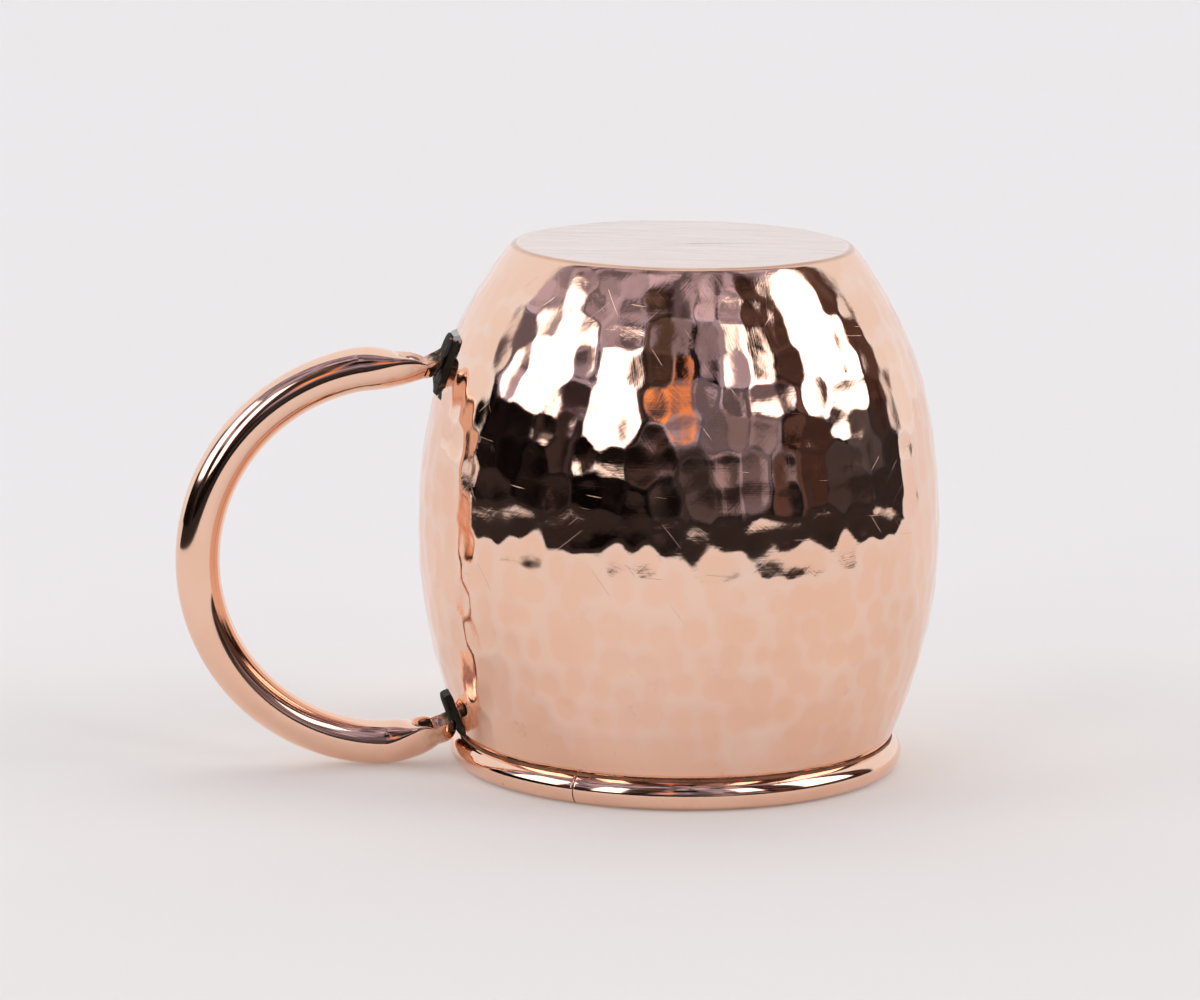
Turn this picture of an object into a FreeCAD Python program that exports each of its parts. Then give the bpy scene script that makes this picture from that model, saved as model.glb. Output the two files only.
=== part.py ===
# Hammered barrel mug in copper, standing upside down on its mouth.
#
# Millimetres, +Z up.  The origin is on the barrel's axis, in the plane that the
# rim stands on, and the handle points along -X.  The barrel is one spun sheet, a
# wire ring closes its mouth, and a bent tube, squashed and turned up at both
# ends, is brazed on as the handle.

import FreeCAD
import Part
import Sketcher

import math
import os
import sys

# ---------------------------------------------------------------- driving sizes

SIZES = {
    # the barrel, from the rim plane up to the flat base
    "total_height": 93.0,
    "belly_radius": 46.36,
    "belly_height": 42.5,
    "lower_arc_radius": 90.2,
    "upper_arc_radius": 107.8,
    "shoulder_turn": 11.5,
    "shoulder_arc_radius": 64.2,
    "base_corner_radius": 1.6,
    "wall": 0.9,
    "edge_height": 3.8,
    # the wire ring on the mouth
    "ring_radius": 37.68,
    "wire_radius": 2.62,
    "ring_gap_angle": 0.5,
    "joint_angle": 0.45,
    "ring_gap_place": 236.0,
    "joint_pit": 0.12,
    "fit_gap": 0.05,
    "rim_fillet": 0.7,
    "groove_top": 7.9,
    # the handle's tube
    "tube_radius": 3.9,
    "tube_wall": 0.9,
    "handle_reach": 85.2,
    "handle_height": 37.25,
    "handle_upper_radius": 34.3,
    "handle_lower_radius": 33.3,
    # its squashed ends
    "squashed_height": 2.52,
    "tongue": 2.1,
    "tongue_width": 12.3,
    "tongue_tip_width": 8.0,
    "flange_bite": 0.4,
    "bend_radius": 1.7,
    "upper_squash_from": 10.2,
    "upper_squash_to": -8.2,
    "upper_lift": -0.45,
    "upper_trough": 0.8,
    "upper_tip": 77.5,
    "lower_squash_from": 3.6,
    "lower_squash_to": -11.0,
    "lower_lift": 0.05,
    "lower_trough": 1.5,
    "lower_tip": 12.9,
    # the braze film between each flange and the barrel
    "film": 0.35,
    "film_gap": 0.02,
    "film_width": 13.7,
    "film_band_angle": 24.0,
    "film_corner": 2.5,
    "upper_film_low": 68.4,
    "upper_film_high": 78.5,
    "lower_film_low": 6.1,
    "lower_film_high": 13.5,
}

doc = FreeCAD.newDocument("barrel_mug")
sheet = doc.addObject("Spreadsheet::Sheet", "Sizes")
for row, (name, value) in enumerate(SIZES.items(), start=1):
    sheet.set(f"A{row}", name)
    sheet.set(f"B{row}", str(value))
    sheet.setAlias(f"B{row}", name)
doc.recompute()


def size(name):
    """A driving size as a plain number."""
    return float(sheet.get(name))


# Expressions that several sketches share.
WALL_CENTRE_LOW = "Sizes.belly_radius - Sizes.lower_arc_radius"
WALL_CENTRE_HIGH = (
    "Sizes.belly_radius - Sizes.upper_arc_radius"
    " + (Sizes.upper_arc_radius - Sizes.shoulder_arc_radius) * cos(Sizes.shoulder_turn)"
)
SHOULDER_CENTRE_HEIGHT = (
    "Sizes.belly_height"
    " + (Sizes.upper_arc_radius - Sizes.shoulder_arc_radius) * sin(Sizes.shoulder_turn)"
)


# ---------------------------------------------------------------- sketch helpers

def new_body(label):
    """An empty body with its label set."""
    body = doc.addObject("PartDesign::Body", label)
    body.Label = label
    return body


def upright_sketch(body, name):
    """A sketch on the body's own XZ plane: across is radius, up is height."""
    sketch = body.newObject("Sketcher::SketchObject", name)
    planes = [item for item in body.Origin.OriginFeatures if item.Role == "XZ_Plane"]
    sketch.AttachmentSupport = [(planes[0], "")]
    sketch.MapMode = "FlatFace"
    return sketch


def point(across, up):
    return FreeCAD.Vector(across, up, 0)


def arc(centre, radius, start, end):
    """A counterclockwise arc between two angles in degrees."""
    circle = Part.Circle(centre, FreeCAD.Vector(0, 0, 1), radius)
    return Part.ArcOfCircle(circle, math.radians(start), math.radians(end))


def bind(sketch, kind, parts, expression, start_value):
    """Add one dimension and tie it to the sheet."""
    number = sketch.addConstraint(Sketcher.Constraint(kind, *parts, start_value))
    sketch.setExpression(f"Constraints[{number}]", expression)


def turn(body, sketch, angle_expression=None, midplane=False, kind="Revolution"):
    """Revolve or groove a sketch about the vertical axis."""
    feature = body.newObject(f"PartDesign::{kind}", f"{body.Label}_{kind.lower()}")
    feature.Profile = sketch
    feature.ReferenceAxis = (sketch, ["V_Axis"])
    feature.Angle = 360
    feature.Midplane = midplane
    if angle_expression:
        feature.setExpression("Angle", angle_expression)
    sketch.Visibility = False
    doc.recompute()
    return feature


# Sketcher's own numbers for the ends of an edge and for the origin.
START = 1
END = 2
CENTRE = 3
ORIGIN = (-1, 1)
UPRIGHT_AXIS = -2


# ---------------------------------------------------------------- barrel

def wall_arcs():
    """Radius and centre (across, up) of the barrel's three outside arcs."""
    low = size("lower_arc_radius")
    high = size("upper_arc_radius")
    shoulder = size("shoulder_arc_radius")
    belly = size("belly_radius")
    height = size("belly_height")
    turned = math.radians(size("shoulder_turn"))
    across = belly - high + (high - shoulder) * math.cos(turned)
    up = height + (high - shoulder) * math.sin(turned)
    return {
        "low": (low, belly - low, height),
        "high": (high, belly - high, height),
        "shoulder": (shoulder, across, up),
    }


def wall_point(part, height, outside):
    """A point so far outside the wall, and the wall's upward direction there."""
    radius, across, up = wall_arcs()[part]
    radius += outside
    lean = math.asin((height - up) / radius)
    place = (across + radius * math.cos(lean), height)
    return place, (-math.sin(lean), math.cos(lean))


def barrel_form(label, inset_expression, inset, low_expression, low_end):
    """The barrel's outline drawn an even distance inside its outside face, turned solid."""
    body = new_body(label)
    sketch = upright_sketch(body, f"{label}_profile")
    arcs = wall_arcs()
    top = size("total_height") - inset
    corner = size("base_corner_radius") - inset
    turned = size("shoulder_turn")
    low, low_across, belly_height = arcs["low"]
    high, high_across, _ = arcs["high"]
    shoulder, across, up = arcs["shoulder"]
    low -= inset
    high -= inset
    shoulder -= inset
    rise = math.asin((top - corner - up) / (shoulder - corner))
    corner_across = across + (shoulder - corner) * math.cos(rise)
    drop = math.asin((low_end - belly_height) / low)
    edge = low_across + low * math.cos(drop)

    base, corner_arc, shoulder_arc, upper_arc, lower_arc, mouth, axis = range(7)
    sketch.addGeometry([
        Part.LineSegment(point(0, top), point(corner_across, top)),
        arc(point(corner_across, top - corner), corner, math.degrees(rise), 90),
        arc(point(across, up), shoulder, turned, math.degrees(rise)),
        arc(point(high_across, belly_height), high, 0, turned),
        arc(point(low_across, belly_height), low, math.degrees(drop), 0),
        Part.LineSegment(point(edge, low_end), point(0, low_end)),
        Part.LineSegment(point(0, low_end), point(0, top)),
    ], False)
    rules = [
        ("Tangent", base, END, corner_arc, END),
        ("Tangent", corner_arc, START, shoulder_arc, END),
        ("Tangent", shoulder_arc, START, upper_arc, END),
        ("Tangent", upper_arc, START, lower_arc, END),
        ("Coincident", lower_arc, START, mouth, START),
        ("Coincident", mouth, END, axis, START),
        ("Coincident", axis, END, base, START),
        ("PointOnObject", base, START, UPRIGHT_AXIS),
        ("PointOnObject", mouth, END, UPRIGHT_AXIS),
        ("Horizontal", base),
        ("Horizontal", mouth),
        ("Horizontal", upper_arc, CENTRE, upper_arc, START),
    ]
    for rule in rules:
        sketch.addConstraint(Sketcher.Constraint(*rule))
    for edge_number, name, value in (
        (corner_arc, "base_corner_radius", corner),
        (shoulder_arc, "shoulder_arc_radius", shoulder),
        (upper_arc, "upper_arc_radius", high),
        (lower_arc, "lower_arc_radius", low),
    ):
        bind(sketch, "Radius", (edge_number,), f"Sizes.{name} - ({inset_expression})", value)
    belly = size("belly_radius") - inset
    top_rule = f"Sizes.total_height - ({inset_expression})"
    belly_rule = f"Sizes.belly_radius - ({inset_expression})"
    bind(sketch, "DistanceY", (*ORIGIN, base, START), top_rule, top)
    bind(sketch, "DistanceY", (*ORIGIN, mouth, START), low_expression, low_end)
    bind(sketch, "DistanceY", (*ORIGIN, upper_arc, START), "Sizes.belly_height", belly_height)
    bind(sketch, "DistanceX", (*ORIGIN, upper_arc, START), belly_rule, belly)
    bind(sketch, "DistanceY", (*ORIGIN, shoulder_arc, CENTRE), SHOULDER_CENTRE_HEIGHT, up)
    turn(body, sketch)
    return body


def make_barrel():
    """The barrel and its base in one sheet, open at the mouth."""
    outside = barrel_form(
        "barrel_outside", "0", 0.0, "Sizes.edge_height", size("edge_height")
    )
    inside = barrel_form(
        "barrel_inside", "Sizes.wall", size("wall"),
        "Sizes.edge_height - Sizes.wall", size("edge_height") - size("wall"),
    )
    shell = doc.addObject("Part::Cut", "barrel_shell")
    shell.Base = outside
    shell.Tool = inside
    shell.Label = "barrel_shell"
    doc.recompute()
    return shell


# ---------------------------------------------------------------- rim

def wire_sketch(body, radius_expression, radius):
    """The wire's round section, standing on the rim plane."""
    sketch = upright_sketch(body, f"{body.Label}_section")
    across = size("ring_radius")
    up = size("wire_radius")
    sketch.addGeometry(Part.Circle(point(across, up), FreeCAD.Vector(0, 0, 1), radius), False)
    bind(sketch, "Radius", (0,), radius_expression, radius)
    bind(sketch, "DistanceX", (*ORIGIN, 0, CENTRE), "Sizes.ring_radius", across)
    bind(sketch, "DistanceY", (*ORIGIN, 0, CENTRE), "Sizes.wire_radius", up)
    return sketch


def band_sketch(body, name, side, arc_name, centre_across, centre_up, inner, outer, low, high):
    """A band between two arcs concentric with the wall, cut level at both ends.

    side is 1 on +X and -1 on -X; inner and outer are distances from the wall's
    outside face, and each size is a pair of expression and number.
    """
    sketch = upright_sketch(body, name)
    wall_radius, across, up = wall_arcs()[arc_name]
    inner_radius = wall_radius + inner[1]
    outer_radius = wall_radius + outer[1]

    def ends(radius):
        start = math.degrees(math.asin((low[1] - up) / radius))
        stop = math.degrees(math.asin((high[1] - up) / radius))
        return (start, stop) if side > 0 else (180 - stop, 180 - start)

    centre = point(side * across, up)
    inside = arc(centre, inner_radius, *ends(inner_radius))
    outside = arc(centre, outer_radius, *ends(outer_radius))
    low_end, high_end = (START, END) if side > 0 else (END, START)
    points = {
        START: (inside.StartPoint, outside.StartPoint),
        END: (inside.EndPoint, outside.EndPoint),
    }
    sketch.addGeometry([
        inside,
        outside,
        Part.LineSegment(*points[low_end]),
        Part.LineSegment(*points[high_end]),
    ], False)
    rules = [
        ("Coincident", 0, low_end, 2, START),
        ("Coincident", 1, low_end, 2, END),
        ("Coincident", 0, high_end, 3, START),
        ("Coincident", 1, high_end, 3, END),
        ("Coincident", 0, CENTRE, 1, CENTRE),
        ("Horizontal", 2),
        ("Horizontal", 3),
    ]
    for rule in rules:
        sketch.addConstraint(Sketcher.Constraint(*rule))
    bind(sketch, "Radius", (0,), inner[0], inner_radius)
    bind(sketch, "Radius", (1,), outer[0], outer_radius)
    bind(sketch, "DistanceX", (*ORIGIN, 0, CENTRE), f"{side} * ({centre_across})", side * across)
    bind(sketch, "DistanceY", (*ORIGIN, 0, CENTRE), centre_up, up)
    bind(sketch, "DistanceY", (*ORIGIN, 2, START), low[0], low[1])
    bind(sketch, "DistanceY", (*ORIGIN, 3, START), high[0], high[1])
    return sketch


def edge_groove(body):
    """The groove that the barrel's edge stands in."""
    gap = size("fit_gap")
    sketch = band_sketch(
        body, f"{body.Label}_groove_profile", 1, "low", WALL_CENTRE_LOW, "Sizes.belly_height",
        ("Sizes.lower_arc_radius - Sizes.wall - Sizes.fit_gap", -size("wall") - gap),
        ("Sizes.lower_arc_radius + Sizes.fit_gap", gap),
        ("Sizes.edge_height - Sizes.fit_gap", size("edge_height") - gap),
        ("Sizes.groove_top", size("groove_top")),
    )
    before = body.Tip.Shape.Volume
    groove = turn(body, sketch, kind="Groove")
    body.Tip = groove
    doc.recompute()
    if groove.Shape.Volume >= before:
        sys.exit(f"{body.Label}: the groove cut nothing")


def make_ring_piece(label, radius_expression, radius, angle_expression, place_expression):
    """A length of the rim's wire, turned to its place round the mouth."""
    body = new_body(label)
    sketch = wire_sketch(body, radius_expression, radius)
    turn(body, sketch, angle_expression, midplane=True)
    edge_groove(body)
    body.setExpression("Placement.Rotation.Angle", place_expression)
    doc.recompute()
    return body


def make_rim_fillet():
    """The thin line of braze in the corner between the ring and the barrel."""
    body = new_body("rim_braze")
    sketch = upright_sketch(body, "rim_braze_section")
    ring = size("ring_radius")
    wire = size("wire_radius")
    gap = size("film_gap")
    leg = size("rim_fillet")
    low, low_across, belly_height = wall_arcs()["low"]
    wire_out = wire + gap
    wall_out = low + gap
    corner = corner_of_arcs((ring, wire), wire_out, (low_across, belly_height), wall_out)
    on_wire = math.atan2(corner[1] - wire, corner[0] - ring)
    on_wall = math.atan2(corner[1] - belly_height, corner[0] - low_across)
    wire_turn = on_wire - leg / wire_out
    wall_turn = on_wall + leg / wall_out
    sketch.addGeometry([
        arc(point(ring, wire), wire_out, math.degrees(wire_turn), math.degrees(on_wire)),
        arc(point(low_across, belly_height), wall_out, math.degrees(on_wall), math.degrees(wall_turn)),
        Part.LineSegment(
            point(low_across + wall_out * math.cos(wall_turn), belly_height + wall_out * math.sin(wall_turn)),
            point(ring + wire_out * math.cos(wire_turn), wire + wire_out * math.sin(wire_turn)),
        ),
    ], False)
    for rule in (
        ("Coincident", 0, END, 1, START),
        ("Coincident", 1, END, 2, START),
        ("Coincident", 2, END, 0, START),
    ):
        sketch.addConstraint(Sketcher.Constraint(*rule))
    bind(sketch, "Radius", (0,), "Sizes.wire_radius + Sizes.film_gap", wire_out)
    bind(sketch, "Radius", (1,), "Sizes.lower_arc_radius + Sizes.film_gap", wall_out)
    bind(sketch, "DistanceX", (*ORIGIN, 0, CENTRE), "Sizes.ring_radius", ring)
    bind(sketch, "DistanceY", (*ORIGIN, 0, CENTRE), "Sizes.wire_radius", wire)
    bind(sketch, "DistanceX", (*ORIGIN, 1, CENTRE), WALL_CENTRE_LOW, low_across)
    bind(sketch, "DistanceY", (*ORIGIN, 1, CENTRE), "Sizes.belly_height", belly_height)
    bind(sketch, "Distance", (0, START, 0, END), "Sizes.rim_fillet", leg)
    bind(sketch, "Distance", (1, START, 1, END), "Sizes.rim_fillet", leg)
    turn(body, sketch)
    return body


def corner_of_arcs(first, first_radius, second, second_radius):
    """Where two circles cross on their outer, upper side."""
    away = math.hypot(second[0] - first[0], second[1] - first[1])
    along = (first_radius ** 2 - second_radius ** 2 + away ** 2) / (2 * away)
    side = math.sqrt(first_radius ** 2 - along ** 2)
    unit = ((second[0] - first[0]) / away, (second[1] - first[1]) / away)
    foot = (first[0] + along * unit[0], first[1] + along * unit[1])
    crossings = [
        (foot[0] + side * unit[1], foot[1] - side * unit[0]),
        (foot[0] - side * unit[1], foot[1] + side * unit[0]),
    ]
    return max(crossings, key=lambda place: place[1])


# ---------------------------------------------------------------- handle

# Points on one outline of the tube.
OUTLINE_POINTS = 28

# How square an outline is: 2 is an ellipse, and more fills out its corners.
ROUND = 2.0
FLAT_SQUARE = 2.6

# Where outlines are drawn, as shares of each stretch.  A flange's outlines come
# with how far each has narrowed towards its tip.
SQUASH_SHARES = (0.0, 0.12, 0.3, 0.5, 0.7, 0.85, 1.0)
HOLLOW_SHARES = (0.0, 0.12, 0.3, 0.5, 0.7, 0.8)
BEND_SHARES = (0.0, 0.5, 1.0)
FLANGE_SHARES = ((0.3, 0.0), (0.6, 0.0), (0.85, 0.25), (1.0, 1.0))

# Each end of the handle: its name, the side of the bow it is on (1 above the
# handle's mid height, -1 below), and the wall arc that its flange lies against.
ENDS = (
    ("upper", 1, "shoulder"),
    ("lower", -1, "low"),
)


def handle_section(station):
    """The tube's outline at one station, as a closed smooth wire.

    A station gives its place and heading (reach, height), half width, half
    thickness, how square the outline is, and how far its edges curl.
    """
    (reach, height), (run, climb), half_width, half_thickness, square, curl = station
    points = []
    for step in range(OUTLINE_POINTS):
        angle = 2 * math.pi * step / OUTLINE_POINTS
        cosine = math.cos(angle)
        sine = math.sin(angle)
        side = half_width * math.copysign(abs(cosine) ** (2 / square), cosine)
        rise = half_thickness * math.copysign(abs(sine) ** (2 / square), sine)
        rise += curl * (side / half_width) ** 2
        points.append(FreeCAD.Vector(-(reach + rise * climb), side, height - rise * run))
    curve = Part.BSplineCurve()
    curve.interpolate(points, PeriodicFlag=True)
    return Part.Wire([curve.toShape()])


def blend(start, end, share):
    """From start to end with a level beginning and a level finish."""
    share = min(max(share, 0.0), 1.0)
    return start + (end - start) * share * share * (3 - 2 * share)


def bow(end):
    """Radius and centre (reach, height) of one half of the handle's bow."""
    radius = size(f"handle_{end}_radius")
    return radius, size("handle_reach") - radius, size("handle_height")


def bow_place(end, side, angle):
    """Place and heading on the bow, by degrees before its highest or lowest point."""
    radius, across, up = bow(end)
    turned = math.radians(angle)
    place = (across + radius * math.sin(turned), up + side * radius * math.cos(turned))
    return place, (-math.cos(turned), side * math.sin(turned))


def squash_stations(end, side, shares, skin=0.0):
    """Stations along the stretch where the tube goes from round to flat."""
    tube = size("tube_radius")
    start = size(f"{end}_squash_from")
    stop = size(f"{end}_squash_to")
    flat = size("squashed_height") / 2
    stations = []
    for share in shares:
        place, heading = bow_place(end, side, start + (stop - start) * share)
        half_thickness = blend(tube, flat, share)
        half_width = blend(tube, size("tongue_width") / 2, share)
        lifted = place[1] + size(f"{end}_lift") * (tube - half_thickness)
        trough = blend(0.0, size(f"{end}_trough"), share)
        square = blend(ROUND, FLAT_SQUARE, share)
        stations.append(
            ((place[0], lifted), heading, half_width - skin, half_thickness - skin, square, trough)
        )
    return stations


def flange_stations(end, wall_arc, last):
    """Stations round the upturned bend and along the flange to its tip.

    The flange runs level with the wall and bites into its film's place, so
    that the wall's own curve can be cut into its back.
    """
    bite = size("flange_bite")
    half_thickness = (size("tongue") + bite) / 2
    half_width = size("tongue_width") / 2
    outside = size("film") + size("tongue") - half_thickness
    tip = size(f"{end}_tip")
    start, heading = last[0], last[1]
    # Corner where the squashed stretch, carried straight on, meets the flange's line.
    foot, along = wall_point(wall_arc, start[1] + size("bend_radius"), outside)
    cross = heading[0] * along[1] - heading[1] * along[0]
    offset = (foot[0] - start[0], foot[1] - start[1])
    ahead = (offset[0] * along[1] - offset[1] * along[0]) / cross
    corner = (start[0] + ahead * heading[0], start[1] + ahead * heading[1])
    heading_angle = math.atan2(heading[1], heading[0]) % (2 * math.pi)
    turned = heading_angle - math.atan2(along[1], along[0])
    radius = size("bend_radius")
    back = radius * math.tan(turned / 2)
    centre = (
        corner[0] - back * heading[0] + radius * heading[1],
        corner[1] - back * heading[1] - radius * heading[0],
    )
    hug = -half_width ** 2 / (2 * foot[0])
    stations = []
    for share in BEND_SHARES:
        angle = heading_angle - turned * share
        direction = (math.cos(angle), math.sin(angle))
        place = (centre[0] - radius * direction[1], centre[1] + radius * direction[0])
        curl = blend(last[5], hug, share)
        stations.append((place, direction, half_width, half_thickness, FLAT_SQUARE, curl))
    begin = stations[-1][0][1]
    for share, narrowing in FLANGE_SHARES:
        place, along = wall_point(wall_arc, begin + (tip - begin) * share, outside)
        width = blend(half_width, size("tongue_tip_width") / 2, narrowing)
        curl = hug * (width / half_width) ** 2
        stations.append((place, along, width, half_thickness, FLAT_SQUARE, curl))
    return stations


def loft(stations):
    """A solid through the outlines of a row of stations."""
    return Part.makeLoft([handle_section(station) for station in stations], True, False)


def bow_solid(end, side, skin=0.0):
    """The round part of one half of the bow, or the hollow inside it."""
    across, up = bow(end)[1:]
    round_end = squash_stations(end, side, (0.0,), skin)[0]
    face = Part.Face(handle_section(round_end))
    sweep = 90 - size(f"{end}_squash_from")
    centre = FreeCAD.Vector(-across, 0, up)
    return face.revolve(centre, FreeCAD.Vector(0, 1, 0), -side * sweep)


def make_handle():
    """The bent tube with both ends squashed, troughed and turned up as flanges."""
    clear = size("film") + size("film_gap")
    keep_out = barrel_form(
        "handle_keep_out", "-Sizes.film - Sizes.film_gap", -clear,
        "Sizes.edge_height - Sizes.wall", size("edge_height") - size("wall"),
    )
    wall = size("tube_wall")
    pieces = []
    hollows = []
    for end, side, wall_arc in ENDS:
        squashed = squash_stations(end, side, SQUASH_SHARES)
        flange = flange_stations(end, wall_arc, squashed[-1])
        pieces.append(loft(squashed + flange))
        pieces.append(bow_solid(end, side))
        hollows.append(loft(squash_stations(end, side, HOLLOW_SHARES, wall)))
        hollows.append(bow_solid(end, side, wall))
    solid = pieces[0].multiFuse(pieces[1:])
    for hollow in hollows:
        solid = solid.cut(hollow)
    solid = solid.cut(keep_out.Shape)
    handle = doc.addObject("Part::Feature", "handle_tube")
    handle.Label = "handle_tube"
    handle.Shape = solid
    handle.Placement = FreeCAD.Placement()
    return handle


# An edge runs along X when the X part of its direction is more than this.
MOSTLY_ALONG = 0.5


def make_film(end, wall_arc):
    """The film of braze between one flange and the barrel, rounded at its corners."""
    label = f"handle_braze_{end}"
    centres = {
        "low": (WALL_CENTRE_LOW, "Sizes.belly_height"),
        "shoulder": (WALL_CENTRE_HIGH, SHOULDER_CENTRE_HEIGHT),
    }
    radius_name = "lower_arc_radius" if wall_arc == "low" else "shoulder_arc_radius"
    body = new_body(f"{end}_film_band")
    sketch = band_sketch(
        body, f"{end}_film_profile", -1, wall_arc, *centres[wall_arc],
        (f"Sizes.{radius_name} + Sizes.film_gap", size("film_gap")),
        (f"Sizes.{radius_name} + Sizes.film", size("film")),
        (f"Sizes.{end}_film_low", size(f"{end}_film_low")),
        (f"Sizes.{end}_film_high", size(f"{end}_film_high")),
    )
    turn(body, sketch, "Sizes.film_band_angle", midplane=True)

    block = doc.addObject("Part::Box", f"{end}_film_block")
    block.setExpression("Length", "Sizes.handle_reach")
    block.setExpression("Width", "Sizes.film_width")
    block.setExpression("Height", f"Sizes.{end}_film_high - Sizes.{end}_film_low")
    block.setExpression("Placement.Base.x", "-Sizes.handle_reach")
    block.setExpression("Placement.Base.y", "-Sizes.film_width / 2")
    block.setExpression("Placement.Base.z", f"Sizes.{end}_film_low")
    doc.recompute()
    outline = doc.addObject("Part::Fillet", f"{end}_film_outline")
    outline.Base = block
    corner = size("film_corner")
    outline.Edges = [
        (number, corner, corner)
        for number, edge in enumerate(block.Shape.Edges, start=1)
        if abs(edge.tangentAt(edge.FirstParameter).x) > MOSTLY_ALONG
    ]
    film = doc.addObject("Part::Common", label)
    film.Base = body
    film.Tool = outline
    film.Label = label
    doc.recompute()
    return film


# ---------------------------------------------------------------- build and check

sub_parts = [
    make_barrel(),
    make_ring_piece(
        "rim_ring", "Sizes.wire_radius", size("wire_radius"),
        "360 - Sizes.ring_gap_angle", "Sizes.ring_gap_place - 180",
    ),
    make_ring_piece(
        "rim_joint_braze", "Sizes.wire_radius - Sizes.joint_pit",
        size("wire_radius") - size("joint_pit"),
        "Sizes.joint_angle", "Sizes.ring_gap_place",
    ),
    make_rim_fillet(),
    make_handle(),
]
for end_name, _, film_arc in ENDS:
    sub_parts.append(make_film(end_name, film_arc))
doc.recompute()

for item in doc.Objects:
    if "Invalid" in item.State or "Error" in item.State:
        sys.exit(f"{item.Name} did not rebuild: {item.State}")
for item in sub_parts:
    shape = item.Shape
    if shape.isNull() or not shape.isValid() or len(shape.Solids) != 1:
        sys.exit(f"{item.Label} is not one valid solid")
    box = shape.BoundBox
    print(
        f"{item.Label}: {shape.Volume:.1f} mm3, z {box.ZMin:.2f} to {box.ZMax:.2f}, "
        f"x {box.XMin:.2f} to {box.XMax:.2f}, y {box.YMin:.2f} to {box.YMax:.2f}"
    )

os.makedirs("parts", exist_ok=True)
for item in sub_parts:
    item.Shape.exportStep(os.path.join("parts", f"{item.Label}.step"))
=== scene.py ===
"""A hammered copper barrel mug, standing upside down on its rim, in a pale studio.

The CAD model gives the frame: metres, +Z up, the barrel's axis on Z, the rim
plane at z = 0 and the handle on -X.  Sizes below are in millimetres and are
turned into metres where a mesh is made.
"""
from math import asin, atan2, cos, degrees, log, pi, radians, sin, tan

import bmesh
import bpy
import numpy as np
from mathutils import Matrix, Vector


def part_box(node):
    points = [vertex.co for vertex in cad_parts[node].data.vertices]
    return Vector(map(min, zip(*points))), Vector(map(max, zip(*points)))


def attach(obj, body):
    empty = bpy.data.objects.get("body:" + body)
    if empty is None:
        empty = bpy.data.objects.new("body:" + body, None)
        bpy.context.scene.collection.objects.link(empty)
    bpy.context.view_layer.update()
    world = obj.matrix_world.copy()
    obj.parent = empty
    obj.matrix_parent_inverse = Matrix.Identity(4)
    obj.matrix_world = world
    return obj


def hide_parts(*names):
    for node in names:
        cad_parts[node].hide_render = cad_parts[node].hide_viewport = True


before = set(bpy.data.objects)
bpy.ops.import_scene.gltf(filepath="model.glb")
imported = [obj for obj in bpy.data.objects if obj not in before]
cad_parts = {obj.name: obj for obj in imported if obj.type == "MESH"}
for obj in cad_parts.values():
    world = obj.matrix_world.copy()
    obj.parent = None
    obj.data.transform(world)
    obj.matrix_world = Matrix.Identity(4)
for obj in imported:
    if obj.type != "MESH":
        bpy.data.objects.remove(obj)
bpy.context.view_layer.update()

MM = 0.001
barrel_low, barrel_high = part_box("barrel_shell")
ring_low, ring_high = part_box("rim_ring")
handle_low, handle_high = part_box("handle_tube")

# -------- sizes, in millimetres

TOP = barrel_high[2] / MM
BELLY = barrel_high[0] / MM
EDGE = barrel_low[2] / MM
BELLY_HEIGHT = 42.5
LOWER_ARC = 90.2
UPPER_ARC = 107.8
SHOULDER_TURN = radians(11.5)
SHOULDER_ARC = 64.2
BASE_CORNER = 1.6
WALL = 0.9

WIRE = 2.62
RING = ring_high[0] / MM - WIRE
FIT_GAP = 0.05
WIRE_STEPS = 40
RING_COLUMNS = 640
RING_WANDER = 0.025

# The butt joint in the wire: where it is, its half gap, how far the ends are
# pinched and over what length, and the slice of braze between them.
JOINT_PLACE = radians(236.0)
HALF_GAP = radians(0.02)
PINCH = 0.02
PINCH_REACH = 0.3
JOINT_HALF_WIDTH = radians(0.025)
JOINT_SUNK = 0.025

# The line of braze between ring and barrel: how far it laps on each of them, how
# much that varies, and how far both faces of metal are inside it.
BRAZE_LEG = 0.34
BRAZE_UNEVEN = 0.16
LAP = 0.02

TUBE = 3.9
REACH = -handle_low[0] / MM - TUBE
HANDLE_HEIGHT = 37.25
TONGUE = 1.0
TONGUE_HALF = 4.4
TIP_HALF = 2.6
FILM = 0.25
FLAT_SHARE = 0.75
SQUASH_POWER = 2.4
TUBE_COLUMNS = 72
BOW_STEPS = 84
SQUASH_STEPS = 44
BEND_STEPS = 14
FLANGE_STEPS = 22
UNEVEN = 0.1

# Each end of the handle: radius of its half of the bow, side of the bow, where
# squashing starts and stops in degrees from the bow's highest or lowest point,
# how far the squashed tube is lifted at its end and arched before it, how far
# its edges curl up, the radius of the bend, and the heights where the curled
# edges meet the flange and where its tip is.
ENDS = {
    "upper": dict(
        radius=34.3, side=1, start=10.2, stop=-9.0, lift=-0.35, arch=-0.3, curl=2.3,
        bend=2.6, meet=74.0, tip=77.0,
    ),
    "lower": dict(
        radius=33.3, side=-1, start=0.5, stop=-16.0, lift=-0.35, arch=0.3, curl=3.0,
        bend=2.2, meet=8.3, tip=12.3,
    ),
}

rng = np.random.default_rng(20)


def add_object(name, data):
    """A new object in the scene."""
    thing = bpy.data.objects.new(name, data)
    bpy.context.scene.collection.objects.link(thing)
    return thing


# -------- camera

CAMERA_TURN = radians(-8.0)
CAMERA_RISE = radians(10.96)
CAMERA_AWAY = 0.945
CAMERA_ROLL = radians(0.7)
LENS = 159.9
AIM_HEIGHT = 0.046
AIM_LEFT = 0.0140
AIM_UP = 0.0008


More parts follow.
